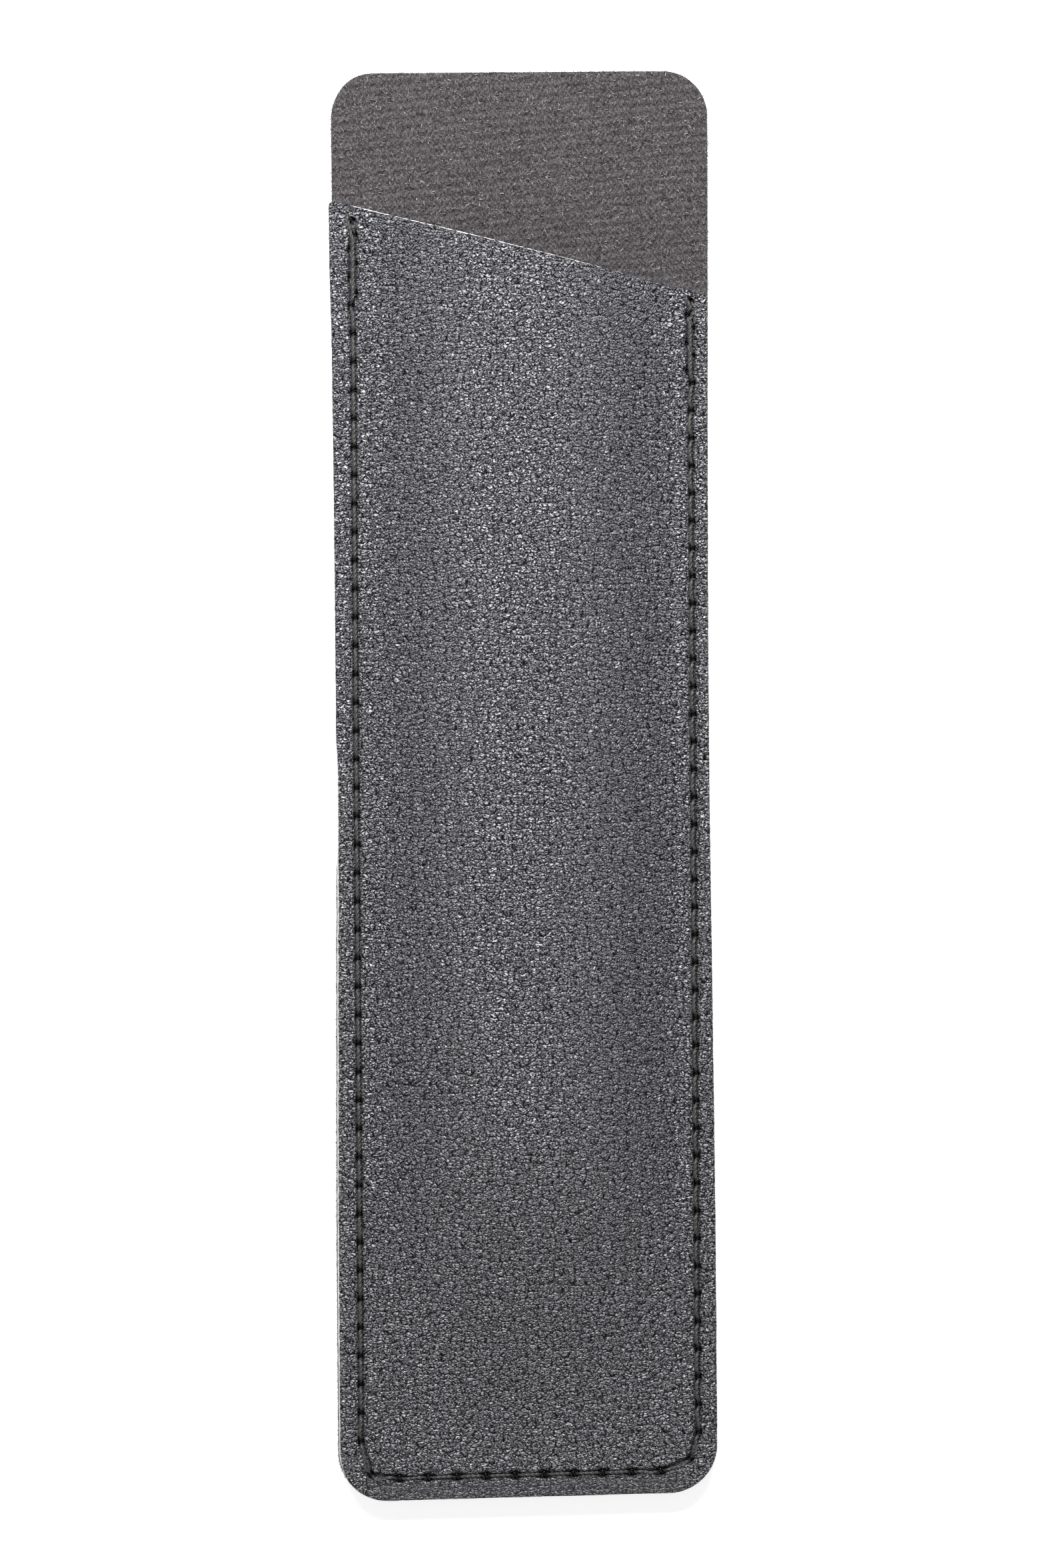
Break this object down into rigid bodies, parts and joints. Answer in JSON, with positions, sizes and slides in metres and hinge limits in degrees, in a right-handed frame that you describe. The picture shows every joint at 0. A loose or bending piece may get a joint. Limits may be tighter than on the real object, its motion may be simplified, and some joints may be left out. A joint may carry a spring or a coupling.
{
  "type": "single pen sleeve",
  "caption": "Flat sewn leatherette sleeve for one pen, with a slanted mouth, a back tongue and a lockstitched edge on three sides.",
  "frame": {"origin": "middle of the sleeve's box on the plane of the back panel's outer face, which the sleeve rests on", "axes": "+X across the sleeve to the right as seen from the front, +Y along it towards the tongue, +Z out of the back panel towards the front panel"},
  "size_m": [0.0426, 0.16, 0.0074],
  "materials": {
    "grain_leatherette": "black-grey pebbled polyurethane grain, semi-matt with small bright points on the grain",
    "core": "pale compact backing, seen only on cut edges",
    "brushed_lining": "matt brushed short nap, dark brown-grey with pale lint specks",
    "thread": "twisted three-ply black sewing thread with a slight sheen"
  },
  "bodies": {
    "root": {"back_skin": "grain_leatherette", "back_core": "core", "back_lining": "brushed_lining", "front_lining": "brushed_lining", "front_core": "core", "front_skin": "grain_leatherette", "needle_thread": "thread", "bobbin_thread": "thread"}
  },
  "joints": []
}
